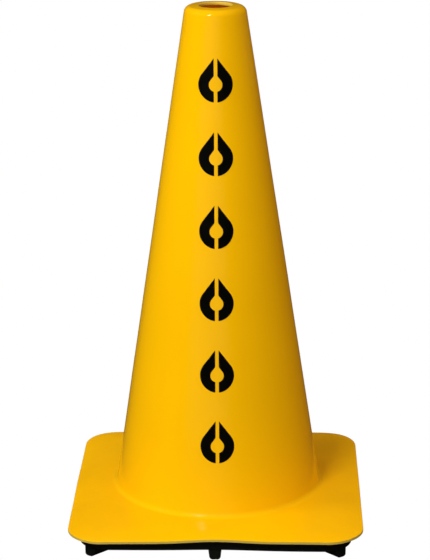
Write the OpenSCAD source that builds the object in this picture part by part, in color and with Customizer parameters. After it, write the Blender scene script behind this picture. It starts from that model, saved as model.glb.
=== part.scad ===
// Safety cone used as a wet floor sign: a flexible hollow cone with a square flange, locked onto a
// heavy black base that stands on eight radial feet, with a column of stencilled drops on its front.
// The origin is on the floor under the middle of the cone, +Z is up and the drops face -Y.

/* [Cone] */
// Height from the floor to the rim of the hand hole
total_h = 457.2; // [430:0.1:480]
// Outer radius of the wall where its line reaches the height of the flange's edge
cone_bottom_r = 91.7; // [86:0.1:93]
// Outer radius of the wall where its line reaches the full height
cone_top_r = 25.8; // [24:0.1:30]
// Thickness of the cone's wall
wall_t = 2.8; // [2.2:0.1:3.2]
// Outer radius of the rounded shoulder
shoulder_r = 6; // [5:0.5:8]
// Inner radius of the rounded shoulder
shoulder_inner_r = 3.2; // [2:0.1:4]
// Radius of the fillet between the wall and the flange
heel_r = 5; // [3:0.5:6]

/* [Top] */
// Radius of the hand hole
hole_r = 14; // [12:0.5:16]
// Thickness of the top round the hand hole
top_t = 3; // [2.5:0.1:3.5]
// Angle at which the top falls away from the hand hole
crown_slope = 5; // [2:1:8]

/* [Flange] */
// Side of the square flange
flange_w = 254; // [248:1:270]
// Thickness of the flange
flange_t = 2.8; // [2.5:0.1:4]
// Corner radius of the flange
flange_corner_r = 31; // [24:1:36]
// How far the flange rises from its edge to the cone
flange_rise = 6; // [3:0.5:9]
// Rounding of the lower mouth of the cone
mouth_r = 3; // [2:0.5:3.5]

/* [Base] */
// How far the base stays inside the edge of the flange
base_inset = 10; // [6:1:10]
// Height of the base's plate at the edge of the flange
plate_t = 11.1; // [9:0.1:13]
// Corner radius of the base
base_corner_r = 25; // [20:1:30]
// Radius of the base's opening, which lets cones nest
opening_r = 92; // [91:0.5:94]

/* [Feet] */
// Height of the feet under the plate
foot_h = 7.6; // [7:0.1:10]
// Width of the four middle feet at the plate
foot_w = 11; // [10:0.1:14]
// Width of the four corner feet at the plate
corner_foot_w = 13; // [12:0.5:16]
// Rounding of a foot's lower edges
foot_round = 2.6; // [2:0.1:2.8]
// Draft of a foot's sides
foot_draft = 7; // [3:1:8]
// Radius at which the feet begin, clear of a nested cone's heel
foot_start_r = 100; // [99:0.5:104]
// Side of the square whose corners shape the ends of the corner feet
foot_square_w = 224; // [216:1:226]
// Corner radius of that square
foot_tip_r = 8; // [4:0.5:12]

/* [Locking plugs] */
// Radius of the flange's plugs, which lock it through the base
plug_r = 5; // [4:0.5:6]
// Radius of the head under each plug
plug_head_r = 8; // [7:0.5:9]
// Thickness of each head
plug_head_t = 3; // [2:0.5:4]
// Depth of each head inside the underside of the base
plug_recess = 0.5; // [0.5:0.1:1.5]
// Longer offset of a plug from the middle, along the edge it is nearest to
plug_far = 103; // [102:1:106]
// Shorter offset of a plug from the middle
plug_near = 55; // [48:1:62]

/* [Stencilled marks] */
// Number of drops in the column
mark_count = 6; // [1:1:6]
// Height of a drop
mark_h = 38.5; // [30:0.5:42]
// Width of a drop
mark_w = 29; // [22:0.5:32]
// Width of the painted stroke
mark_stroke = 8.8; // [6:0.1:9.5]
// Width of the stencil's bridges
mark_bridge = 3; // [2:0.5:4]
// Height of the middle of the lowest drop
mark_first_z = 94.4; // [84:0.1:100]
// Distance from one drop to the next
mark_pitch = 61.2; // [52:0.1:64]
// Turn of the column away from the flange's square
mark_turn = 1.2; // [-3:0.1:3]
// Thickness of the paint
mark_t = 0.2; // [0.2:0.1:0.5]

/* [Hidden] */
$fn = 96;
// Extra radius that lets a round meet its neighbours by crossing them, and not by just touching
slip = 0.01;
// How far joined pieces reach into each other
overlap = 1;
flange_bottom_z = foot_h + plate_t;
flange_top_z = flange_bottom_z + flange_t;
base_w = flange_w - 2 * base_inset;
// Radius inside which the flange is turned with the cone
disc_r = cone_bottom_r + heel_r + 1;
// The flange falls away from the cone as a shallow cone that reaches its corners at the height of its edge,
// and four roofs take its sides down to that height.
corner_reach = (flange_w / 2 - flange_corner_r) * sqrt(2) + flange_corner_r;
fall = atan(flange_rise / (corner_reach - cone_bottom_r));
roof_start = disc_r + overlap;
roof_fall = atan((fall_z(roof_start) - flange_top_z) / (flange_w / 2 - roof_start));
// Lean of the wall from the vertical
lean = atan((cone_bottom_r - cone_top_r) / (total_h - flange_top_z));

// Height of the flange's top on its shallow cone, on a roof, and where the lower of the two is what there is
function fall_z(r) = flange_top_z + (corner_reach - r) * tan(fall);
function roof_z(out) = flange_top_z + (flange_w / 2 - out) * tan(roof_fall);
function flange_z(across, out) = min(fall_z(norm([across, out])), roof_z(out));

// A line is [direction of its normal, distance from the origin along that normal].
function along(angle) = [cos(angle), sin(angle)];
function line_through(point, angle) = [angle, point * along(angle)];
function shifted(line, distance) = [line[0], line[1] + distance];
function meet(a, b) =
    [a[1] * sin(b[0]) - b[1] * sin(a[0]), b[1] * cos(a[0]) - a[1] * cos(b[0])] / sin(b[0] - a[0]);

// The cone's section, radius against height
bore = [0, hole_r];
crown_out = line_through([hole_r, total_h], 90 - crown_slope);
crown_in = shifted(crown_out, -top_t);
wall_out = line_through([cone_bottom_r, flange_top_z], lean);
wall_in = shifted(wall_out, -wall_t);
flange_top = line_through([corner_reach, flange_top_z], 90 - fall);
flange_bottom = line_through([corner_reach, flange_bottom_z], 90 - fall);
disc_edge = [0, disc_r];

// Sharp corner outside a round: taken away it rounds an outer corner, and added it fills an inner one.
module corner_piece(centre, r, from, to) {
    reach = r / cos((to - from) / 2) + overlap;
    difference() {
        polygon([
            centre,
            centre + (r + overlap) * along(from),
            centre + reach * along((from + to) / 2),
            centre + (r + overlap) * along(to)
        ]);
        translate(centre) circle(r = r + slip);
    }
}

// Corner piece for the round of radius r tangent to two lines, on the side that the signs give
module corner_between(a, b, side, r, from, to) {
    corner_piece(meet(shifted(a, side[0] * r), shifted(b, side[1] * r)), r, from, to);
}

module rounded_square(w, r) {
    difference() {
        square(w, center = true);
        for (turn = [0 : 90 : 270])
            rotate(turn) corner_piece([w / 2 - r, w / 2 - r], r, 0, 90);
    }
}

module cone_section() {
    crown = 90 - crown_slope;
    difference() {
        union() {
            polygon([
                meet(bore, crown_out),
                meet(crown_out, wall_out),
                meet(wall_out, flange_top),
                meet(disc_edge, flange_top),
                meet(disc_edge, flange_bottom),
                meet(wall_in, flange_bottom),
                meet(wall_in, crown_in),
                meet(bore, crown_in)
            ]);
            corner_between(wall_out, flange_top, [1, 1], heel_r, 180 + lean, 270 - fall);
            corner_between(wall_in, crown_in, [-1, -1], shoulder_inner_r, lean, crown);
        }
        corner_between(wall_out, crown_out, [-1, -1], shoulder_r, lean, crown);
        corner_between(wall_in, flange_bottom, [1, 1], mouth_r, 180 + lean, 270 - fall);
    }
}

// Solid under the top of the flange, from well outside its edge to just inside the base's opening, and
// lowered by a distance
module under_flange(drop) {
    peak_r = opening_r - 2 * overlap;
    peak_z = fall_z(peak_r);
    eave = flange_w / 2 + overlap;
    translate([0, 0, -drop]) intersection() {
        cylinder(h = peak_z, r1 = peak_r + peak_z / tan(fall), r2 = peak_r);
        roof(eave, peak_z);
        rotate(90) roof(eave, peak_z);
    }
}

// Prism along Y, under the two roofs that fall to the flange's left and right edges
module roof(eave, peak_z) {
    ridge = flange_w / 2 - (peak_z - flange_top_z) / tan(roof_fall);
    rotate([90, 0, 0]) linear_extrude(2 * eave, center = true) polygon([
        [-eave, 0],
        [eave, 0],
        [eave, roof_z(eave)],
        [ridge, peak_z],
        [-ridge, peak_z],
        [-eave, roof_z(eave)]
    ]);
}

// Two plugs stand on each side of the flange, between the feet.
module at_plugs() {
    for (turn = [0 : 90 : 270], side = [-1, 1])
        rotate(turn) translate([side * plug_near, -plug_far, 0]) children();
}

module plug() {
    cylinder(r = plug_r, h = flange_z(plug_near, plug_far) - flange_t / 2 - foot_h - plug_recess);
    cylinder(r = plug_head_r, h = plug_head_t);
}

module cone_shell() {
    color("gold") {
        rotate_extrude() cone_section();
        difference() {
            intersection() {
                linear_extrude(total_h / 2) difference() {
                    rounded_square(flange_w, flange_corner_r);
                    circle(r = disc_r - overlap);
                }
                under_flange(0);
            }
            under_flange(flange_t);
        }
        at_plugs() translate([0, 0, foot_h + plug_recess]) plug();
    }
}

// Section across a foot of a given width, from the floor up into the plate
module foot_section(width) {
    side = line_through([width / 2, foot_h], -foot_draft);
    floor_line = [-90, 0];
    inside = [0, foot_h + overlap];
    corners = [meet(side, floor_line), meet(side, [90, foot_h + overlap])];
    difference() {
        polygon([for (p = corners) p, inside, for (p = [corners[1], corners[0]]) [-p[0], p[1]]]);
        for (flip = [0, 1])
            mirror([flip, 0]) corner_between(side, floor_line, [-1, -1], foot_round, -90, -foot_draft);
    }
}

module foot(turn, width, end_r) {
    rotate(turn) translate([foot_start_r, 0, 0]) rotate([90, 0, 90])
        linear_extrude(end_r - foot_start_r) foot_section(width);
}

module corner_foot(turn) {
    intersection() {
        foot(turn, corner_foot_w, base_w);
        linear_extrude(foot_h + overlap) rounded_square(foot_square_w, foot_tip_r);
    }
}

module base() {
    color("dimgray") {
        difference() {
            intersection() {
                translate([0, 0, foot_h]) linear_extrude(total_h / 2) difference() {
                    rounded_square(base_w, base_corner_r);
                    circle(r = opening_r);
                }
                under_flange(flange_t);
            }
            at_plugs() {
                translate([0, 0, foot_h - overlap])
                    cylinder(r = plug_head_r, h = overlap + plug_recess + plug_head_t);
                translate([0, 0, foot_h]) cylinder(r = plug_r, h = total_h / 2);
            }
        }
        for (turn = [0 : 90 : 270]) {
            foot(turn, foot_w, base_w / 2);
            corner_foot(turn + 45);
        }
    }
}

// Filled drop of a given round, with its point above the middle of the round
module filled_drop(r, point_y) {
    touch = acos(r / point_y);
    circle(r = r + slip);
    polygon([[0, 0], r * along(90 - touch), [0, point_y], r * along(90 + touch)]);
}

// Drop drawn in two strokes by a stencil, with the middle of its height at the origin
module stencil_drop() {
    outer_r = mark_w / 2;
    outer_point = mark_h - outer_r;
    inner_r = outer_r - mark_stroke;
    translate([0, outer_r - mark_h / 2]) difference() {
        filled_drop(outer_r, outer_point);
        filled_drop(inner_r, inner_r * outer_point / outer_r);
        square([mark_bridge, 2 * mark_h], center = true);
    }
}

// Solid cone that follows the outside of the wall from one height to another, a little outside it
module wall_cone(low_z, high_z, outside) {
    translate([0, 0, low_z])
        cylinder(h = high_z - low_z, r1 = wall_r(low_z) + outside, r2 = wall_r(high_z) + outside);
}
function wall_r(z) = meet(wall_out, [90, z])[0];

module stencil_marks() {
    low_z = mark_first_z - mark_h / 2 - overlap;
    high_z = mark_first_z + (mark_count - 1) * mark_pitch + mark_h / 2 + overlap;
    color("black") rotate(mark_turn) intersection() {
        difference() {
            wall_cone(low_z, high_z, mark_t);
            wall_cone(low_z - overlap, high_z + overlap, 0);
        }
        for (i = [0 : mark_count - 1])
            translate([0, 0, mark_first_z + i * mark_pitch]) rotate([90, 0, 0])
                linear_extrude(cone_bottom_r + overlap) stencil_drop();
    }
}

cone_shell();
base();
stencil_marks();
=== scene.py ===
"""Safety cone on a heavy black base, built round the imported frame. Lengths are in metres."""

import math

import bmesh
import bpy
from mathutils import Matrix, Vector, noise


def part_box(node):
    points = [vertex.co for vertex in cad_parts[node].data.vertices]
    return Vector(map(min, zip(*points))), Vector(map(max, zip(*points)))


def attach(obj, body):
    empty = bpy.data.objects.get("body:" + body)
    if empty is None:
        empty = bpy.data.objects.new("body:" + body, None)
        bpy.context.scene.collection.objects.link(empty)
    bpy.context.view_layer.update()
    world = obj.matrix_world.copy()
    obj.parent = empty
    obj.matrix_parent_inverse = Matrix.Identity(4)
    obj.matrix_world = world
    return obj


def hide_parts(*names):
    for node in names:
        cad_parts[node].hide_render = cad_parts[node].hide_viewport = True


MM = 0.001
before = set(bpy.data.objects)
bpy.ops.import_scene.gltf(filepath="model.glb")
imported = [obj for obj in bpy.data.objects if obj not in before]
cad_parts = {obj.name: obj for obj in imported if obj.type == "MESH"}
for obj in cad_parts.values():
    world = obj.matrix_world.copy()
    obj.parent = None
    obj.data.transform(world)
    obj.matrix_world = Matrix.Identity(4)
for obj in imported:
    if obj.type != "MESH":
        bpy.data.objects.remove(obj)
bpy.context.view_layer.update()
shell_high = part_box("cone_shell")[1]

# Cone and flange
TOTAL_H = shell_high.z
FLANGE_HALF = shell_high.x
FOOT_H = 7.6 * MM
PLATE_T = 11.1 * MM
FLANGE_BOTTOM_Z = FOOT_H + PLATE_T
FLANGE_T = 2.8 * MM
FLANGE_TOP_Z = FLANGE_BOTTOM_Z + FLANGE_T
FLANGE_CORNER = 31 * MM
FLANGE_RISE = 6 * MM
CONE_BOTTOM_R = 91.7 * MM
CONE_TOP_R = 25.8 * MM
WALL_T = 2.8 * MM
TOP_T = 3 * MM
HOLE_R = 14 * MM
CROWN_SLOPE = math.radians(5)
SHOULDER_R = 6 * MM
SHOULDER_INNER_R = 3.2 * MM
HEEL_R = 5 * MM
MOUTH_R = 3 * MM
LIP_ROUND = 0.9 * MM
RIM_ROUND = 0.6 * MM
LEAN = math.atan((CONE_BOTTOM_R - CONE_TOP_R) / (TOTAL_H - FLANGE_TOP_Z))
HEEL_MARGIN = 1 * MM
HEEL_EDGE = CONE_BOTTOM_R + HEEL_R + HEEL_MARGIN
HEEL_TOP_Z = FLANGE_TOP_Z + FLANGE_RISE + HEEL_R

# The flange falls away as a shallow cone that reaches its corners.
# Between the corners, a roof on each side falls to the edge.
CORNER_REACH = (FLANGE_HALF - FLANGE_CORNER) * math.sqrt(2) + FLANGE_CORNER
FALL = math.atan(FLANGE_RISE / (CORNER_REACH - CONE_BOTTOM_R))
ROOF_START = HEEL_EDGE + HEEL_MARGIN
ROOF_FALL = math.atan((CORNER_REACH - ROOF_START) * math.tan(FALL) / (FLANGE_HALF - ROOF_START))
SOFT_HIP = 2 * MM
LEAST_HIP = 0.01 * MM
HIP_FADE = 15 * MM

# Base
BASE_HALF = 117 * MM
BASE_CORNER = 25 * MM
OPENING_R = 92 * MM
BASE_ROUND = 0.8 * MM
FOOT_W = 11 * MM
CORNER_FOOT_W = 13 * MM
FOOT_ROUND = 2.6 * MM
FOOT_END_ROUND = 0.6 * MM
FOOT_DRAFT = math.radians(7)
FOOT_END_DRAFT = math.radians(1)
FOOT_START = 100 * MM
FOOT_SQUARE_HALF = 112 * MM
FOOT_TIP_R = 8 * MM
MIDDLE_FOOT_END = BASE_HALF - 0.1 * MM
FOOT_STEPS = 14

# Locking plugs
PLUG_R = 5 * MM
PLUG_HEAD_R = 8 * MM
PLUG_HEAD_T = 3 * MM
PLUG_RECESS = 0.5 * MM
PLUG_FAR = 103 * MM
PLUG_NEAR = 55 * MM
PLUG_GAP = 0.2 * MM
PLUG_STEM_GAP = 0.05 * MM
PLUG_EDGE_ROUND = 0.7 * MM
PLUG_DISH = ((1.2 * MM, 0.25 * MM), (4.5 * MM, 0.18 * MM))
BORE_CHAMFER = 0.5 * MM
CUT_EXTRA = 1 * MM

# Stencilled drops
MARK_COUNT = 6
MARK_H = 38.5 * MM
MARK_W = 29 * MM
MARK_STROKE = 8.8 * MM
MARK_BRIDGE = 3 * MM
MARK_FIRST_Z = 94.4 * MM
MARK_PITCH = 61.2 * MM
MARK_TURN = math.radians(1.2)
PAINT_T = 0.18 * MM
PAINT_EDGE_T = 0.07 * MM
PAINT_ROOT = 0.12 * MM

# Heights at which a drop is sampled, and places across a stroke as shares of its width
ROW_STEPS = 36
ROW_GAP = 0.05 * MM
ROW_MARGIN = 0.01 * MM
END_ROWS = (0.02 * MM, 0.1 * MM, 0.25 * MM)
COLUMNS = (0.0, 0.02, 0.14, 0.28, 0.42, 0.58, 0.72, 0.86, 0.98, 1.0)

# How the soft flange rides up over the foot in the middle of each side, front first
LIFTS = (2.2 * MM, 1.5 * MM, 1.9 * MM, 1.3 * MM)
LIFT_SPREAD = 32 * MM
LIFT_START = 74 * MM
LIFT_FADE = 14 * MM
FRONT_TILT = 0.45 * MM
UNDER_SHARE = 0.35

# Unevenness of the soft plastic: heights of its waves, the scales of their noise, and a fade-out
FLANGE_WAVES = 0.25 * MM
FLANGE_WAVE_SCALE = 18
FLANGE_WAVE_SLICE = 0.3
WALL_WAVES = 0.12 * MM
WALL_WAVE_SCALE = 1.3
WALL_WAVE_RISE = 14
WALL_WAVE_FADE = 30 * MM

# How the underside of the base is drawn up along the left of the front
UNDER_RISE = 0.7 * MM
UNDER_FROM = 85 * MM
UNDER_TO = 10 * MM

# How the top of the cone has settled, a little lower on the right
CROWN_SINK = 0.17 * MM
CROWN_TILT = 0.007
CROWN_DEPTH = 30 * MM

# Points round a ring of the shell or the base, and round a plug
AROUND = 384
PLUG_AROUND = 48

# How far from an edge the paler edge colour begins, and where it is full: inside the flange's rim,
# round the hand hole, and under the top. The edges are trimmed and matte, and their paler colour is
# partly painted reflection of the white floor on the rim and painted light in the hand hole
RIM_PALE_START = 0.9 * MM
RIM_PALE_FULL = 0.6 * MM
HOLE_PALE_START = 0.9 * MM
HOLE_PALE_FULL = 0.4 * MM
TOP_PALE_START = 12 * MM
TOP_PALE_FULL = 8 * MM

# Heights between which the dust fades in towards the floor
DUST_HIGH = 32 * MM
DUST_LOW = 18 * MM

# Colours
DEEP_YELLOW = (0.88, 0.430, 0.0006)
BRIGHT_YELLOW = (0.92, 0.450, 0.0008)
SCUFF_YELLOW = (0.80, 0.44, 0.004)
DUST = (0.50, 0.28, 0.02)
# Paler yellows of the flange's trimmed rim: partly the real matte cut edge, partly painted reflection of
# the white floor, paler still where the rim faces down
RIM_CUT_AND_REFLECTION_YELLOW = (0.50, 0.33, 0.02)
UNDER_RIM_CUT_AND_REFLECTION_YELLOW = (0.64, 0.47, 0.17)
# Paler yellow of the hand hole's wall: partly the real cut edge, partly painted light that brightens the
# wall
HOLE_CUT_AND_PAINTED_LIGHT_YELLOW = (0.71, 0.475, 0.07)
DARK_BASE = (0.0035, 0.0036, 0.0030)
PALE_BASE = (0.0055, 0.0056, 0.0048)
BASE_SPECK = (0.02, 0.02, 0.018)
DARK_PAINT = (0.0004, 0.0004, 0.0004)
PALE_PAINT = (0.0012, 0.0012, 0.0012)
WHITE = (1, 1, 1, 1)

# Depths of the bumps that are too fine for the mesh
PEEL_BUMP = 0.012 * MM
SWELL_BUMP = 0.06 * MM
GRAIN_BUMP = 0.18 * MM
DENT_BUMP = 0.4 * MM
PAINT_BUMP = 0.03 * MM

# Camera
CAMERA_PLACE = Vector((0.04836, -1.84864, 0.79647))
CAMERA_TURN = math.radians(1.55)
CAMERA_TILT = math.radians(90 - 17.489)
CAMERA_ROLL = math.radians(-0.3535)
CAMERA_LENS = 142.37
CAMERA_SENSOR = 36

# Point that the lamps are aimed at, and their tints
LAMP_TARGET = Vector((0, 0, 0.2))
FRONT_TINT = (0.96, 1.0, 0.8)
LEFT_TINT = (0.90, 1.0, 0.9)
RIGHT_TINT = (1.0, 0.84, 0.6)
STREAK_TINT = (1.0, 1.0, 0.7)
GLOW_TINT = (1.0, 0.5, 0.1)

# Lamps: name, azimuth and elevation in degrees, distance, size, power in watts, tint
LAMPS = (
    ("key", -25, 40, 3.4, (0.9, 0.9), 81, FRONT_TINT),
    ("front_soft", -10, 10, 0.9, (0.9, 0.7), 3.1, FRONT_TINT),
    ("left_fill", -75, 40, 1.7, (0.45, 0.45), 9.2, LEFT_TINT),
    ("right_rim", 100, 14, 1.7, (0.45, 0.45), 7.0, RIGHT_TINT),
    ("right_back", 130, 6, 1.7, (0.45, 0.45), 6.0, RIGHT_TINT),
    ("left_back", -140, 6, 1.7, (0.45, 0.45), 6.0, LEFT_TINT),
)

# Lamp that shows only in reflections, and makes the highlights at the shoulder and the heel
STREAK_LAMP = ("streak", -23, 42, 1.2, (0.11, 0.30), 3.3, STREAK_TINT)

# Lamp inside the cone
GLOW_SIZE = 0.12
GLOW_POWER = 0.18
GLOW_Z = 0.02

# Floor and its glow, and the brightness of the sky overhead and of what reflections see
FLOOR_HALF = 6.0
FLOOR_DROP = 0.2 * MM
FLOOR_GLOW = 0.03
WORLD_SKY = 0.365
WORLD_GLOSS = 0.015


def smooth_step(value):
    """Rises from 0 to 1 with flat ends as the value goes from 0 to 1."""
    held = min(1.0, max(0.0, value))
    return held * held * (3 - 2 * held)


def edge_bulge(x, y):
    """How far the flange rides up over the foot in the middle of a side."""
    total = 0.0
    for side, height in enumerate(LIFTS):
        turn = side * math.pi / 2
        across = x * math.cos(turn) + y * math.sin(turn)
        out = x * math.sin(turn) - y * math.cos(turn)
        reach = smooth_step((out - LIFT_START) / (FLANGE_HALF - LIFT_START))
        total += height * reach * math.exp(-((across / LIFT_SPREAD) ** 2))
    return total


def flange_slope(x, y):
    """Height of the flange over its edge, with its roofs and its shallow cone softly joined."""
    radius = math.hypot(x, y)
    cone = (CORNER_REACH - radius) * math.tan(FALL)
    roof = (FLANGE_HALF - max(abs(x), abs(y))) * math.tan(ROOF_FALL)
    soft = SOFT_HIP * smooth_step((radius - HEEL_EDGE) / HIP_FADE) + LEAST_HIP
    near = max(0.0, soft - abs(cone - roof)) / soft
    return min(cone, roof) - near * near * soft / 4


def flange_lift(x, y):
    """Height that the flange and the top of the base gain over their slope at a point."""
    tilt = FRONT_TILT * smooth_step(-y / FLANGE_HALF) * x / FLANGE_HALF
    ripple = FLANGE_WAVES * noise.noise(Vector((x, y, FLANGE_WAVE_SLICE)) * FLANGE_WAVE_SCALE)
    away = smooth_step((math.hypot(x, y) - HEEL_EDGE) / LIFT_FADE)
    return (edge_bulge(x, y) + tilt + ripple) * away


def wall_swell(angle, z):
    """Slight unevenness of the moulded wall, which fades out above the heel."""
    place = Vector((math.cos(angle), math.sin(angle), z * WALL_WAVE_RISE))
    share = smooth_step((z - HEEL_TOP_Z) / WALL_WAVE_FADE)
    return WALL_WAVES * share * noise.noise(place * WALL_WAVE_SCALE)


def wall_radius(z):
    """Outer radius of the cone's wall at a height."""
    return CONE_BOTTOM_R - (z - FLANGE_TOP_Z) * math.tan(LEAN)


def square_radius(angle, half, corner):
    """Distance from the middle to the edge of a rounded square, in one direction."""
    longer = max(abs(math.cos(angle)), abs(math.sin(angle)))
    shorter = min(abs(math.cos(angle)), abs(math.sin(angle)))
    inner = half - corner
    if half * shorter / longer <= inner:
        return half / longer
    along = inner * (longer + shorter)
    return along + math.sqrt(along * along - 2 * inner * inner + corner * corner)


def line_through(point, angle):
    """A line, as the angle of its normal and its distance from the origin along that normal."""
    return angle, point[0] * math.cos(angle) + point[1] * math.sin(angle)


def shifted(line, distance):
    """The same line moved along its normal."""
    return line[0], line[1] + distance


def meet(a, b):
    """The point where two lines cross."""
    turn = math.sin(b[0] - a[0])
    across = (a[1] * math.sin(b[0]) - b[1] * math.sin(a[0])) / turn
    up = (b[1] * math.cos(a[0]) - a[1] * math.cos(b[0])) / turn
    return across, up


def arc(centre, radius, start, end, steps):
    """Points of an arc, both ends included. Angles in radians."""
    points = []
    for i in range(steps + 1):
        angle = start + (end - start) * i / steps
        across = centre[0] + radius * math.cos(angle)
        points.append((across, centre[1] + radius * math.sin(angle)))
    return points


def between(start, end, steps):
    """Points strictly between two points."""
    points = []
    for i in range(1, steps):
        share = i / steps
        across = start[0] + (end[0] - start[0]) * share
        points.append((across, start[1] + (end[1] - start[1]) * share))
    return points


def tangent_arc(a, b, sides, radius, start, end, steps):
    """The round of a given radius that touches two lines."""
    centre = meet(shifted(a, sides[0] * radius), shifted(b, sides[1] * radius))
    return arc(centre, radius, start, end, steps)


def circle_stations(points):
    """Stations on a circle. A station is a circle's radius, an inset, the square's share and a height."""
    return [(radius, 0.0, 0.0, z) for radius, z in points]


def rim_stations(points):
    """Stations on the square outline. The first number of a point is its distance inside the edge."""
    return [(0.0, inset, 1.0, z) for inset, z in points]


def blend_stations(radius, inset, shares, z):
    """Stations between a circle and the square outline."""
    return [(radius, inset, share, z) for share in shares]


def station_ring(station, half, corner, bend):
    """Ring of points at a station, moved to their final places by the bend function."""
    circle_r, inset, share, z = station
    ring = []
    for i in range(AROUND):
        angle = 2 * math.pi * i / AROUND
        outer = square_radius(angle, half - inset, corner - inset) if share else 0.0
        radius = circle_r * (1 - share) + outer * share
        ring.append(bend(angle, radius, z, share > 0))
    return ring


def loop_part(rings):
    """Closed tube of quads through rings whose last one joins the first."""
    verts = [point for ring in rings for point in ring]
    count = len(rings[0])
    faces = []
    for i in range(len(rings)):
        low = i * count
        high = (i + 1) % len(rings) * count
        for j in range(count):
            k = (j + 1) % count
            faces.append((low + j, low + k, high + k, high + j))
    return verts, faces


def capped_part(rings):
    """Tube of quads through rings, closed by a face at each end."""
    verts = [point for ring in rings for point in ring]
    count = len(rings[0])
    faces = []
    for i in range(len(rings) - 1):
        low = i * count
        for j in range(count):
            k = (j + 1) % count
            faces.append((low + j, low + k, low + count + k, low + count + j))
    last = (len(rings) - 1) * count
    faces.append(tuple(range(count)))
    faces.append(tuple(range(last, last + count)))
    return verts, faces


def make_piece(name, parts):
    """One object from closed parts, with outward normals."""
    verts, faces = [], []
    for part_verts, part_faces in parts:
        start = len(verts)
        verts.extend(part_verts)
        faces.extend(tuple(start + i for i in face) for face in part_faces)
    mesh = bpy.data.meshes.new(name)
    mesh.from_pydata(verts, [], faces)
    solid = bmesh.new()
    solid.from_mesh(mesh)
    bmesh.ops.recalc_face_normals(solid, faces=solid.faces)
    solid.to_mesh(mesh)
    solid.free()
    piece = bpy.data.objects.new(name, mesh)
    bpy.context.scene.collection.objects.link(piece)
    return piece


def combine(piece, other, operation):
    """Adds the other object's solid to a piece or cuts it away, and removes the other object."""
    modifier = piece.modifiers.new("combine", "BOOLEAN")
    modifier.object = other
    modifier.operation = operation
    modifier.solver = "MANIFOLD"
    bpy.context.view_layer.update()
    graph = bpy.context.evaluated_depsgraph_get()
    mesh = bpy.data.meshes.new_from_object(piece.evaluated_get(graph))
    piece.modifiers.clear()
    piece.data = mesh
    mesh.name = piece.name
    bpy.data.objects.remove(other)


def finish_piece(piece, material, node, sharp_degrees):
    """Shades a piece, gives it its material, hangs it under the root body and hides the CAD node that it
    stands for.
    """
    mesh = piece.data
    mesh.shade_smooth()
    mesh.set_sharp_from_angle(angle=math.radians(sharp_degrees))
    mesh.materials.clear()
    mesh.materials.append(material)
    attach(piece, "root")
    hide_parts(node)


def lathe_part(points, x, y):
    """Closed part turned from a profile about an upright axis."""
    rings = []
    for radius, z in points:
        ring = []
        for i in range(PLUG_AROUND):
            angle = 2 * math.pi * i / PLUG_AROUND
            ring.append((x + radius * math.cos(angle), y + radius * math.sin(angle), z))
        rings.append(ring)
    return capped_part(rings)


def plug_places():
    """Middles of the eight plugs, two on each side."""
    places = []
    for side in (-1, 1):
        for near in (-PLUG_NEAR, PLUG_NEAR):
            places.append((near, side * PLUG_FAR))
            places.append((side * PLUG_FAR, near))
    return places


def outer_profile(wall_out, crown_out, flange_top):
    """Outside of the cone, from the hand hole's lip down to the flange."""
    lip_middle = HOLE_R + LIP_ROUND
    lip_centre = (lip_middle, meet(shifted(crown_out, -LIP_ROUND), (0, lip_middle))[1])
    lip = arc(lip_centre, LIP_ROUND, math.pi, math.pi / 2 - CROWN_SLOPE, steps=8)
    shoulder = tangent_arc(
        wall_out, crown_out, (-1, -1), SHOULDER_R, math.pi / 2 - CROWN_SLOPE, LEAN, steps=14
    )
    heel = tangent_arc(
        wall_out, flange_top, (1, 1), HEEL_R, math.pi + LEAN, 1.5 * math.pi - FALL, steps=14
    )
    points = lip + between(lip[-1], shoulder[0], steps=5) + shoulder
    points += between(shoulder[-1], heel[0], steps=72) + heel
    return points


def inner_profile(wall_in, crown_in, flange_bottom):
    """Inside of the cone, from the flange's underside up to the hand hole."""
    mouth = tangent_arc(
        wall_in, flange_bottom, (1, 1), MOUTH_R, 1.5 * math.pi - FALL, math.pi + LEAN, steps=8
    )
    shoulder = tangent_arc(
        wall_in, crown_in, (-1, -1), SHOULDER_INNER_R, LEAN, math.pi / 2 - CROWN_SLOPE, steps=8
    )
    edge_middle = HOLE_R + LIP_ROUND
    edge_centre = (edge_middle, meet(shifted(crown_in, LIP_ROUND), (0, edge_middle))[1])
    edge = arc(edge_centre, LIP_ROUND, 1.5 * math.pi - CROWN_SLOPE, math.pi, steps=6)
    points = mouth + between(mouth[-1], shoulder[0], steps=28) + shoulder
    points += between(shoulder[-1], edge[0], steps=4) + edge
    return points


def rim_profile():
    """Edge of the flange from its top to its underside, as distance inside the edge against height."""
    top = arc((-RIM_ROUND, FLANGE_TOP_Z - RIM_ROUND), RIM_ROUND, math.pi / 2, 0, steps=6)
    low = arc((-RIM_ROUND, FLANGE_BOTTOM_Z + RIM_ROUND), RIM_ROUND, 0, -math.pi / 2, steps=6)
    return [(-across, z) for across, z in top + low]


def shell_bend(angle, radius, z, on_flange):
    """Point of the shell, with the wall's swell, the settled crown and the flange's slope."""
    radius += wall_swell(angle, z)
    x = radius * math.cos(angle)
    y = radius * math.sin(angle)
    z -= (CROWN_SINK + CROWN_TILT * x) * smooth_step((z - TOTAL_H + CROWN_DEPTH) / CROWN_DEPTH)
    if on_flange:
        z += flange_slope(x, y) + flange_lift(x, y)
    return x, y, z


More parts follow.
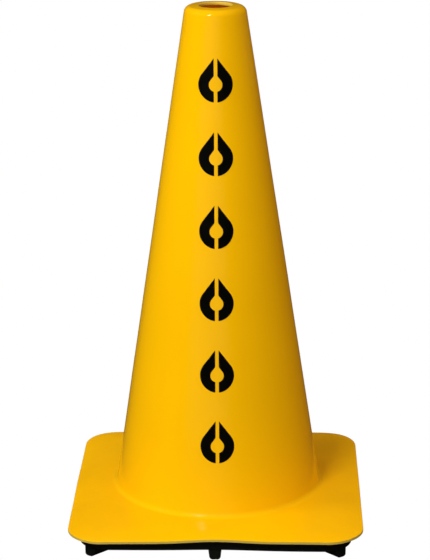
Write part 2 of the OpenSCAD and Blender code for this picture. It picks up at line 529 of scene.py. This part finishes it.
def shell_stations():
    """Stations round the whole section of the shell: outside, rim, underside and inside."""
    wall_out = line_through((CONE_BOTTOM_R, FLANGE_TOP_Z), LEAN)
    wall_in = shifted(wall_out, -WALL_T)
    crown_out = line_through((HOLE_R, TOTAL_H), math.pi / 2 - CROWN_SLOPE)
    crown_in = shifted(crown_out, -TOP_T)
    flange_top = line_through((CORNER_REACH, FLANGE_TOP_Z), math.pi / 2 - FALL)
    flange_bottom = line_through((CORNER_REACH, FLANGE_BOTTOM_Z), math.pi / 2 - FALL)
    outer = outer_profile(wall_out, crown_out, flange_top)
    inner = inner_profile(wall_in, crown_in, flange_bottom)
    top_shares = [0.08, 0.2, 0.34, 0.48, 0.62, 0.74, 0.84, 0.91, 0.96, 0.985]
    under_shares = [0.97, 0.9, 0.8, 0.68, 0.54, 0.4, 0.26, 0.12, 0.04]
    stations = circle_stations(outer)
    stations += blend_stations(outer[-1][0], RIM_ROUND, top_shares, FLANGE_TOP_Z)
    stations += rim_stations(rim_profile())
    stations += blend_stations(inner[0][0], RIM_ROUND, under_shares, FLANGE_BOTTOM_Z)
    stations += circle_stations(inner)
    return stations


def plug_part(x, y):
    """One plug: a dished head with a rounded edge, and a stem up into the flange."""
    low = FOOT_H + PLUG_RECESS
    top = low + PLUG_HEAD_T - PLUG_GAP
    end = FLANGE_TOP_Z + flange_slope(x, y) - FLANGE_T / 2
    head_r = PLUG_HEAD_R - PLUG_GAP
    stem_r = PLUG_R - PLUG_STEM_GAP
    edge_centre = (head_r - PLUG_EDGE_ROUND, low + PLUG_EDGE_ROUND)
    points = [(radius, low + rise) for radius, rise in PLUG_DISH]
    points += arc(edge_centre, PLUG_EDGE_ROUND, -math.pi / 2, 0, steps=5)
    points += [(head_r, top), (stem_r, top), (stem_r, end)]
    return lathe_part(points, x, y)


def make_shell(material):
    rings = [
        station_ring(station, FLANGE_HALF, FLANGE_CORNER, shell_bend)
        for station in shell_stations()
    ]
    shell = make_piece("cone_shell_skin", [loop_part(rings)])
    plugs = make_piece("plugs", [plug_part(x, y) for x, y in plug_places()])
    combine(shell, plugs, "UNION")
    finish_piece(shell, material, "cone_shell", sharp_degrees=50)


def under_rise(x, y):
    """How far the underside of the base is drawn up at a point."""
    front = smooth_step((-y - OPENING_R) / (BASE_HALF - OPENING_R))
    return UNDER_RISE * front * smooth_step((UNDER_FROM - x) / (UNDER_FROM - UNDER_TO))


def base_bend(angle, radius, z, _):
    """Point of the base, whose top follows the flange and whose underside is drawn up at the front."""
    x = radius * math.cos(angle)
    y = radius * math.sin(angle)
    low = UNDER_SHARE * edge_bulge(x, y) + under_rise(x, y)
    high = flange_slope(x, y) + flange_lift(x, y)
    return x, y, z + low + (high - low) * (z - FOOT_H) / PLATE_T


def plate_stations():
    """Stations round the whole section of the base's plate."""
    low = FOOT_H
    high = FLANGE_BOTTOM_Z
    edge = BASE_ROUND
    outer = arc((-edge, high - edge), edge, math.pi / 2, 0, steps=6)
    outer += between((0, high - edge), (0, low + edge), steps=5)
    outer += arc((-edge, low + edge), edge, 0, -math.pi / 2, steps=6)
    inner = arc((OPENING_R + edge, low + edge), edge, 1.5 * math.pi, math.pi, steps=6)
    inner += between(inner[-1], (OPENING_R, high - edge), steps=4)
    inner += arc((OPENING_R + edge, high - edge), edge, math.pi, math.pi / 2, steps=6)
    shares = [0.05, 0.15, 0.3, 0.45, 0.6, 0.75, 0.88, 0.96]
    stations = blend_stations(OPENING_R + edge, edge, shares, high)
    stations += rim_stations([(-across, z) for across, z in outer])
    stations += blend_stations(OPENING_R + edge, edge, shares[::-1], low)
    stations += circle_stations(inner)
    return stations


def rounded_inset(distance, radius):
    """How far a rounded edge has drawn in, at a distance from where it ends."""
    if distance >= radius:
        return 0.0
    return radius - math.sqrt(radius * radius - (radius - distance) ** 2)


def square_end(across, half_width, inset):
    """End of a middle foot, with its upright edges rounded."""
    over = max(0.0, abs(across) - (half_width - FOOT_END_ROUND))
    return MIDDLE_FOOT_END - inset - rounded_inset(FOOT_END_ROUND - over, FOOT_END_ROUND)


def corner_end(across, half_width, inset):
    """End of a corner foot, shaped by the corner of a rounded square."""
    sharp = (FOOT_SQUARE_HALF - inset) * math.sqrt(2)
    if abs(across) < FOOT_TIP_R / math.sqrt(2):
        return sharp - FOOT_TIP_R * math.sqrt(2) + math.sqrt(FOOT_TIP_R**2 - across**2)
    return sharp - abs(across)


def foot_contour(half_width, inset, end_at):
    """Outline of a foot in plan, as points along it and across it."""
    outer = []
    for i in range(FOOT_STEPS + 1):
        across = -half_width * math.cos(math.pi * i / FOOT_STEPS)
        outer.append((end_at(across, half_width, inset), across))
    inner = []
    for i in range(FOOT_STEPS + 1):
        across = half_width * math.cos(math.pi * i / FOOT_STEPS)
        over = max(0.0, abs(across) - (half_width - FOOT_END_ROUND))
        back = rounded_inset(FOOT_END_ROUND - over, FOOT_END_ROUND)
        inner.append((FOOT_START + inset + back, across))
    left = between(outer[-1], inner[0], steps=6)
    right = between(inner[-1], outer[0], steps=6)
    return outer + left + inner + right


def foot_part(turn, width, end_at):
    """Rib-like foot, drafted on its sides and rounded where it meets the floor."""
    # Heights in millimetres, closer together where the foot is rounded
    levels = [0.0, 0.03, 0.1, 0.2, 0.35, 0.6, 0.9, 1.3, 1.8, 2.6, 4.0, 5.8, 7.6, 9.0]
    rings = []
    for level in levels:
        z = level * MM
        drawn = (FOOT_H - z) * math.tan(FOOT_DRAFT) + rounded_inset(z, FOOT_ROUND)
        inset = (FOOT_H - z) * math.tan(FOOT_END_DRAFT) + rounded_inset(z, FOOT_END_ROUND)
        ring = []
        for along, across in foot_contour(width / 2 - drawn, inset, end_at):
            x = along * math.cos(turn) - across * math.sin(turn)
            y = along * math.sin(turn) + across * math.cos(turn)
            ring.append((x, y, z))
        rings.append(ring)
    return capped_part(rings)


def counterbore_part(x, y):
    """What is cut from the base for one plug: a chamfered counterbore and the hole above it."""
    top = FOOT_H + PLUG_RECESS + PLUG_HEAD_T
    points = [
        (PLUG_HEAD_R + BORE_CHAMFER + CUT_EXTRA, FOOT_H - CUT_EXTRA),
        (PLUG_HEAD_R, FOOT_H + BORE_CHAMFER),
        (PLUG_HEAD_R, top),
        (PLUG_R, top),
        (PLUG_R, HEEL_TOP_Z),
    ]
    return lathe_part(points, x, y)


def make_base(material):
    rings = [
        station_ring(station, BASE_HALF, BASE_CORNER, base_bend)
        for station in plate_stations()
    ]
    base = make_piece("base_skin", [loop_part(rings)])
    feet = []
    for quarter in range(4):
        turn = quarter * math.pi / 2
        feet.append(foot_part(turn, FOOT_W, square_end))
        feet.append(foot_part(turn + math.pi / 4, CORNER_FOOT_W, corner_end))
    combine(base, make_piece("feet", feet), "UNION")
    cutters = [counterbore_part(x, y) for x, y in plug_places()]
    combine(base, make_piece("cutters", cutters), "DIFFERENCE")
    finish_piece(base, material, "base", sharp_degrees=35)


def drop_half_width(y, radius, point):
    """Half the width of a drop at a height above the middle of its round."""
    if y <= -radius or y >= point:
        return 0.0
    touch_y = radius * radius / point
    if y <= touch_y:
        return math.sqrt(radius * radius - y * y)
    touch_x = math.sqrt(radius * radius - touch_y * touch_y)
    return touch_x * (point - y) / (point - touch_y)


def drop_rows(radius, point, inner_r, inner_point):
    """Heights at which a drop is sampled, closer together round its curves."""
    bridge = MARK_BRIDGE / 2
    touch_y = radius**2 / point
    touch_x = math.sqrt(radius**2 - touch_y**2)
    low = -math.sqrt(radius**2 - bridge**2)
    high = point - bridge * (point - touch_y) / touch_x
    heights = [high - END_ROWS[0], touch_y, inner_r**2 / inner_point, inner_point]
    heights += [low + rise for rise in END_ROWS]
    for i in range(ROW_STEPS):
        heights.append(-radius * math.cos(math.pi * i / ROW_STEPS))
        heights.append(-inner_r * math.cos(math.pi * i / ROW_STEPS))
        heights.append(low + (high - low) * i / ROW_STEPS)
    rows = []
    for y in sorted(heights):
        inside = low + ROW_MARGIN < y < high - ROW_MARGIN
        if inside and (not rows or y - rows[-1] > ROW_GAP):
            rows.append(y)
    return rows


def wall_point(x, z, outside):
    """Point on the front of the wall, at a distance across it and outside it."""
    radius = wall_radius(z)
    turned = math.asin(x / radius) + MARK_TURN
    radius += wall_swell(turned - math.pi / 2, z) + outside
    return radius * math.sin(turned), -radius * math.cos(turned), z


def stroke_part(middle_z, side):
    """One of the two strokes of a drop, as a thin film on the wall."""
    radius = MARK_W / 2
    point = MARK_H - radius
    inner_r = radius - MARK_STROKE
    inner_point = inner_r * point / radius
    centre_z = middle_z + radius - MARK_H / 2
    rows = drop_rows(radius, point, inner_r, inner_point)
    rings = []
    for number, y in enumerate(rows):
        out = drop_half_width(y, radius, point)
        near = max(MARK_BRIDGE / 2, drop_half_width(y, inner_r, inner_point))
        thin_row = number in (0, len(rows) - 1)
        face, back = [], []
        for column in COLUMNS:
            x = side * (near + (out - near) * column)
            edge = thin_row or column in (0.0, 1.0)
            face.append(wall_point(x, centre_z + y, PAINT_EDGE_T if edge else PAINT_T))
            back.append(wall_point(x, centre_z + y, -PAINT_ROOT))
        rings.append(face + back[::-1])
    return capped_part(rings)


def make_marks(material):
    parts = []
    for i in range(MARK_COUNT):
        for side in (-1, 1):
            parts.append(stroke_part(MARK_FIRST_Z + i * MARK_PITCH, side))
    marks = make_piece("stencil_drops", parts)
    finish_piece(marks, material, "stencil_marks", sharp_degrees=60)


class Nodes:
    """Short way to add and link nodes in one material."""

    def __init__(self, name):
        self.material = bpy.data.materials.new(name)
        self.material.use_nodes = True
        self.tree = self.material.node_tree
        self.tree.nodes.clear()
        self.place = self.add("ShaderNodeTexCoord").outputs["Object"]

    def add(self, kind, **settings):
        node = self.tree.nodes.new(kind)
        for key, value in settings.items():
            setattr(node, key, value)
        return node

    def link(self, source, target):
        self.tree.links.new(source, target)

    def noise(self, scale, detail, roughness=0.55, stretch=None):
        node = self.add("ShaderNodeTexNoise")
        node.inputs["Scale"].default_value = scale
        node.inputs["Detail"].default_value = detail
        node.inputs["Roughness"].default_value = roughness
        source = self.place
        if stretch:
            mapping = self.add("ShaderNodeMapping")
            mapping.inputs["Scale"].default_value = stretch
            self.link(source, mapping.inputs["Vector"])
            source = mapping.outputs["Vector"]
        self.link(source, node.inputs["Vector"])
        return node.outputs["Fac"]

    def grade(self, source, low, high, start=0.0, end=1.0):
        """Maps the range low to high onto start to end, held at both ends."""
        node = self.add("ShaderNodeMapRange", clamp=True)
        node.inputs["From Min"].default_value = low
        node.inputs["From Max"].default_value = high
        node.inputs["To Min"].default_value = start
        node.inputs["To Max"].default_value = end
        self.link(source, node.inputs["Value"])
        return node.outputs["Result"]

    def maths(self, operation, first, second):
        node = self.add("ShaderNodeMath", operation=operation)
        for socket, value in zip(node.inputs, (first, second)):
            if isinstance(value, (int, float)):
                socket.default_value = value
            else:
                self.link(value, socket)
        return node.outputs["Value"]

    def mix(self, share, first, second):
        node = self.add("ShaderNodeMix", data_type="RGBA")
        self.link(share, node.inputs["Factor"])
        for name, value in (("A", first), ("B", second)):
            socket = [s for s in node.inputs if s.name == name and s.type == "RGBA"][0]
            if isinstance(value, tuple):
                socket.default_value = (*value, 1.0)
            else:
                self.link(value, socket)
        return [s for s in node.outputs if s.type == "RGBA"][0]

    def bump(self, height, distance, strength, below=None):
        node = self.add("ShaderNodeBump")
        node.inputs["Distance"].default_value = distance
        node.inputs["Strength"].default_value = strength
        self.link(height, node.inputs["Height"])
        if below:
            self.link(below, node.inputs["Normal"])
        return node.outputs["Normal"]

    def surface(self, colour, roughness, normal, specular):
        shader = self.add("ShaderNodeBsdfPrincipled")
        self.link(colour, shader.inputs["Base Color"])
        self.link(roughness, shader.inputs["Roughness"])
        self.link(normal, shader.inputs["Normal"])
        shader.inputs["Specular IOR Level"].default_value = specular
        output = self.add("ShaderNodeOutputMaterial")
        self.link(shader.outputs["BSDF"], output.inputs["Surface"])
        return self.material

    def height_above_floor(self):
        node = self.add("ShaderNodeSeparateXYZ")
        self.link(self.place, node.inputs["Vector"])
        return node.outputs["Z"]

    def vector_maths(self, operation, first, second=None):
        node = self.add("ShaderNodeVectorMath", operation=operation)
        self.link(first, node.inputs[0])
        if second:
            node.inputs[1].default_value = second
        return node.outputs["Value" if operation == "LENGTH" else "Vector"]

    def out_from_square(self, half):
        """Distance outside an upright square column round the origin."""
        flat = self.vector_maths("MULTIPLY", self.place, (1, 1, 0))
        over = self.vector_maths("ABSOLUTE", flat)
        over = self.vector_maths("SUBTRACT", over, (half, half, 0))
        over = self.vector_maths("MAXIMUM", over, (0, 0, 0))
        return self.vector_maths("LENGTH", over)

    def facing_down(self, start, end):
        """Grows from 0 to 1 as the upward part of the surface's direction falls."""
        node = self.add("ShaderNodeSeparateXYZ")
        self.link(self.add("ShaderNodeNewGeometry").outputs["Normal"], node.inputs["Vector"])
        return self.grade(node.outputs["Z"], start, end)


def cut_edges_and_painted_light(nodes):
    """Where the moulding was trimmed, and where a paler colour paints floor reflection on the rim of the
    flange and light on the wall of the hand hole.
    """
    rim = nodes.out_from_square(FLANGE_HALF - FLANGE_CORNER)
    rim = nodes.grade(rim, FLANGE_CORNER - RIM_PALE_START, FLANGE_CORNER - RIM_PALE_FULL)
    rim = nodes.maths("MULTIPLY", rim, nodes.facing_down(0.75, 0.1))
    hole = nodes.out_from_square(0.0)
    hole = nodes.grade(hole, HOLE_R + HOLE_PALE_START, HOLE_R + HOLE_PALE_FULL)
    top = nodes.grade(nodes.height_above_floor(), TOTAL_H - TOP_PALE_START, TOTAL_H - TOP_PALE_FULL)
    return rim, nodes.maths("MULTIPLY", hole, top)


def yellow_pvc():
    """Glossy plastisol with faint colour clouds, orange peel, scuffs and dust, and paler trimmed edges
    whose colour is partly painted reflection of the white floor and, in the hand hole, painted light.
    """
    nodes = Nodes("yellow_pvc")
    clouds = nodes.grade(nodes.noise(7.0, 2.0), 0.35, 0.65)
    colour = nodes.mix(clouds, DEEP_YELLOW, BRIGHT_YELLOW)
    streaks = nodes.noise(26.0, 4.0, 0.6, stretch=(1.0, 1.0, 0.16))
    scuffs = nodes.grade(streaks, 0.60, 0.72)
    colour = nodes.mix(nodes.maths("MULTIPLY", scuffs, 0.05), colour, SCUFF_YELLOW)
    low = nodes.grade(nodes.height_above_floor(), DUST_HIGH, DUST_LOW)
    dust = nodes.maths("MULTIPLY", low, nodes.grade(nodes.noise(60.0, 5.0, 0.65), 0.45, 0.75))
    colour = nodes.mix(nodes.maths("MULTIPLY", dust, 0.12), colour, DUST)
    rim, hole = cut_edges_and_painted_light(nodes)
    # Rim colour: partly the real cut edge, partly painted reflection of the white floor, strongest where
    # the rim faces down
    trimmed_and_reflection = nodes.mix(nodes.facing_down(0.15, -0.35), RIM_CUT_AND_REFLECTION_YELLOW, UNDER_RIM_CUT_AND_REFLECTION_YELLOW)
    patchy = nodes.grade(nodes.noise(260.0, 4.0, 0.65), 0.35, 0.65, 0.75, 1.0)
    colour = nodes.mix(nodes.maths("MULTIPLY", rim, patchy), colour, trimmed_and_reflection)
    # Hand hole wall colour: partly the real cut edge, partly painted light
    colour = nodes.mix(nodes.maths("MULTIPLY", hole, patchy), colour, HOLE_CUT_AND_PAINTED_LIGHT_YELLOW)
    roughness = nodes.grade(nodes.noise(38.0, 4.0), 0.3, 0.7, 0.10, 0.17)
    roughness = nodes.maths("ADD", roughness, nodes.maths("MULTIPLY", scuffs, 0.10))
    edges = nodes.maths("MAXIMUM", rim, hole)
    roughness = nodes.maths("ADD", roughness, nodes.maths("MULTIPLY", edges, 0.45))
    peel = nodes.bump(nodes.noise(420.0, 2.0), PEEL_BUMP, 0.6)
    swell = nodes.bump(nodes.noise(55.0, 2.0), SWELL_BUMP, 0.5, below=peel)
    return nodes.surface(colour, roughness, swell, specular=0.3)


def black_base():
    """Recycled black PVC: coarse grain, small dents, grey specks and a dull skin."""
    nodes = Nodes("black_base")
    clouds = nodes.grade(nodes.noise(30.0, 4.0), 0.3, 0.7)
    colour = nodes.mix(clouds, DARK_BASE, PALE_BASE)
    specks = nodes.grade(nodes.noise(900.0, 3.0, 0.7), 0.68, 0.74)
    colour = nodes.mix(nodes.maths("MULTIPLY", specks, 0.5), colour, BASE_SPECK)
    roughness = nodes.grade(nodes.noise(160.0, 4.0), 0.3, 0.7, 0.55, 0.78)
    grain = nodes.bump(nodes.noise(700.0, 4.0, 0.65), GRAIN_BUMP, 0.7)
    dents = nodes.bump(nodes.noise(90.0, 3.0), DENT_BUMP, 0.5, below=grain)
    return nodes.surface(colour, roughness, dents, specular=0.2)


def black_paint():
    """Stencil paint: a dull film with faint clouds and fine grain."""
    nodes = Nodes("black_paint")
    clouds = nodes.grade(nodes.noise(120.0, 3.0), 0.3, 0.7)
    colour = nodes.mix(clouds, DARK_PAINT, PALE_PAINT)
    roughness = nodes.grade(nodes.noise(300.0, 3.0), 0.3, 0.7, 0.48, 0.62)
    grain = nodes.bump(nodes.noise(1600.0, 3.0), PAINT_BUMP, 0.5)
    return nodes.surface(colour, roughness, grain, specular=0.1)


def add_camera():
    """Camera at the photo's viewing angle."""
    data = bpy.data.cameras.new("camera")
    data.lens = CAMERA_LENS
    data.sensor_width = CAMERA_SENSOR
    camera = bpy.data.objects.new("camera", data)
    turn = Matrix.Rotation(CAMERA_TURN, 4, "Z") @ Matrix.Rotation(CAMERA_TILT, 4, "X")
    turn = turn @ Matrix.Rotation(CAMERA_ROLL, 4, "Z")
    camera.matrix_world = Matrix.Translation(CAMERA_PLACE) @ turn
    bpy.context.scene.collection.objects.link(camera)
    bpy.context.scene.camera = camera


def new_lamp(name, power, tint):
    """Area lamp that reflections don't show."""
    data = bpy.data.lights.new(name, "AREA")
    data.energy = power
    data.color = tint
    lamp = bpy.data.objects.new(name, data)
    lamp.visible_glossy = False
    bpy.context.scene.collection.objects.link(lamp)
    return lamp


def add_lamp(name, azimuth, elevation, distance, size, power, tint):
    """Lamp aimed at the cone. Azimuth 0 is the front, and to the right is positive."""
    lamp = new_lamp(name, power, tint)
    lamp.data.shape = "RECTANGLE"
    lamp.data.size, lamp.data.size_y = size
    turn = math.radians(azimuth)
    lift = math.radians(elevation)
    way = Vector((math.sin(turn) * math.cos(lift), -math.cos(turn) * math.cos(lift), math.sin(lift)))
    lamp.location = LAMP_TARGET + way * distance
    lamp.rotation_euler = (-way).to_track_quat("-Z", "Y").to_euler()
    return lamp


def add_inner_glow():
    """Lamp inside the cone, aimed up. It stands in for the light that comes through thin PVC."""
    lamp = new_lamp("inner_glow", GLOW_POWER, GLOW_TINT)
    lamp.data.size = GLOW_SIZE
    lamp.location.z = GLOW_Z
    lamp.rotation_euler.x = math.pi


def choose(tree, factor, usual, other):
    """Output of a node that gives the usual value at factor 0 and the other at factor 1."""
    mix = tree.nodes.new("ShaderNodeMix")
    mix.inputs["B"].default_value = other
    tree.links.new(factor, mix.inputs["Factor"])
    tree.links.new(usual, mix.inputs["A"])
    return mix.outputs["Result"]


def add_world():
    """White to the camera, dim to reflections, and otherwise a dome that fades towards the horizon."""
    world = bpy.data.worlds.new("studio")
    world.use_nodes = True
    tree = world.node_tree
    tree.nodes.clear()
    way = tree.nodes.new("ShaderNodeTexCoord")
    split = tree.nodes.new("ShaderNodeSeparateXYZ")
    tree.links.new(way.outputs["Generated"], split.inputs["Vector"])
    dome = tree.nodes.new("ShaderNodeMapRange")
    dome.inputs["To Max"].default_value = WORLD_SKY
    tree.links.new(split.outputs["Z"], dome.inputs["Value"])
    path = tree.nodes.new("ShaderNodeLightPath")
    strength = choose(tree, path.outputs["Is Glossy Ray"], dome.outputs["Result"], WORLD_GLOSS)
    strength = choose(tree, path.outputs["Is Camera Ray"], strength, 1.0)
    background = tree.nodes.new("ShaderNodeBackground")
    background.inputs["Color"].default_value = WHITE
    tree.links.new(strength, background.inputs["Strength"])
    output = tree.nodes.new("ShaderNodeOutputWorld")
    tree.links.new(background.outputs["Background"], output.inputs["Surface"])
    bpy.context.scene.world = world


def floor_material():
    """White to the camera, and a dim glow to everything else."""
    nodes = Nodes("studio_floor")
    path = nodes.add("ShaderNodeLightPath")
    dim = nodes.grade(path.outputs["Is Glossy Ray"], 0.0, 1.0, FLOOR_GLOW, WORLD_GLOSS)
    glow = nodes.maths("MAXIMUM", dim, path.outputs["Is Camera Ray"])
    emission = nodes.add("ShaderNodeEmission")
    emission.inputs["Color"].default_value = WHITE
    nodes.link(glow, emission.inputs["Strength"])
    output = nodes.add("ShaderNodeOutputMaterial")
    nodes.link(emission.outputs["Emission"], output.inputs["Surface"])
    return nodes.material


def add_floor():
    mesh = bpy.data.meshes.new("studio_floor")
    half = FLOOR_HALF
    corners = [(-half, -half, 0), (half, -half, 0), (half, half, 0), (-half, half, 0)]
    mesh.from_pydata(corners, [], [(0, 1, 2, 3)])
    mesh.materials.append(floor_material())
    floor = bpy.data.objects.new("studio_floor", mesh)
    floor.location.z = -FLOOR_DROP
    bpy.context.scene.collection.objects.link(floor)


def add_studio():
    add_world()
    add_floor()
    for lamp in LAMPS:
        add_lamp(*lamp)
    streak = add_lamp(*STREAK_LAMP)
    streak.visible_glossy = True
    streak.visible_diffuse = False
    add_inner_glow()


make_shell(yellow_pvc())
make_base(black_base())
make_marks(black_paint())
add_camera()
add_studio()
bpy.context.scene.view_settings.view_transform = "Standard"
